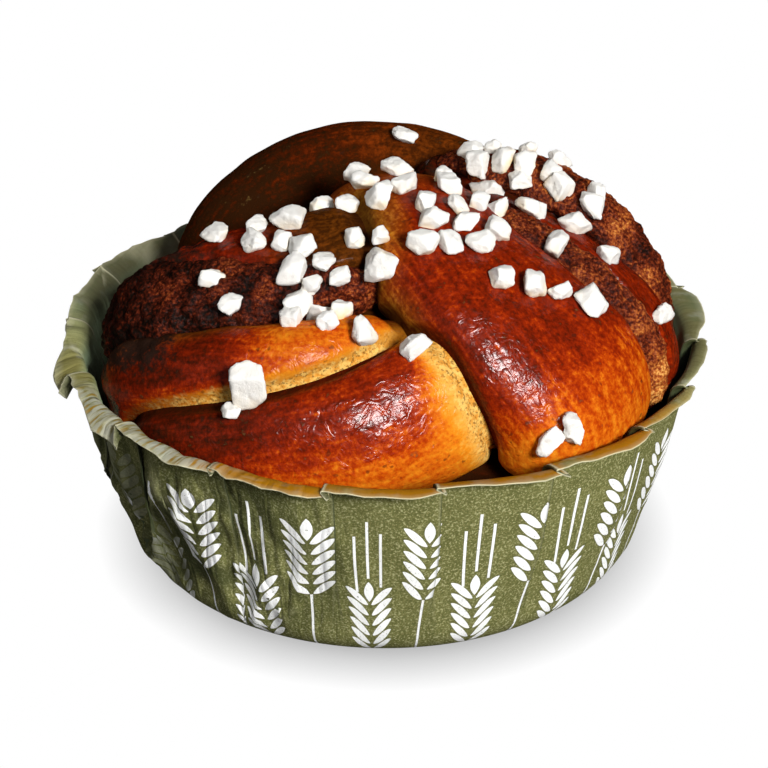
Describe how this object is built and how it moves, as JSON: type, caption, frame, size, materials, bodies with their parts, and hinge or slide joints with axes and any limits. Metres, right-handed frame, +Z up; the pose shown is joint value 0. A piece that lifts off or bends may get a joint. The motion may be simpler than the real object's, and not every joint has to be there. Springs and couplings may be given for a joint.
{
  "type": "cinnamon knot",
  "caption": "Baked sweet dough knot with cinnamon filling showing between its strands and pearl sugar on top, standing in a pleated round paper case.",
  "frame": {"origin": "middle of the paper case's flat base", "axes": "+Z up out of the case, -Y towards the front that the wide crossing strand runs down to, +X to its right"},
  "size_m": [0.1104, 0.1078, 0.0671],
  "materials": {
    "case_paper": "olive green fibrous baking paper with a white wheat ear print outside and a pale sage inside",
    "crust": "egg-washed baked crust, glossy red-brown to golden",
    "filling": "rough baked cinnamon and sugar, dark red-brown",
    "sugar": "opaque white pearl sugar with chipped faces"
  },
  "bodies": {
    "root": {"paper_case": "case_paper", "dough_knot": "crust", "cinnamon_filling_left": "filling", "cinnamon_filling_right": "filling", "cinnamon_filling_back": "filling"}
  },
  "joints": []
}
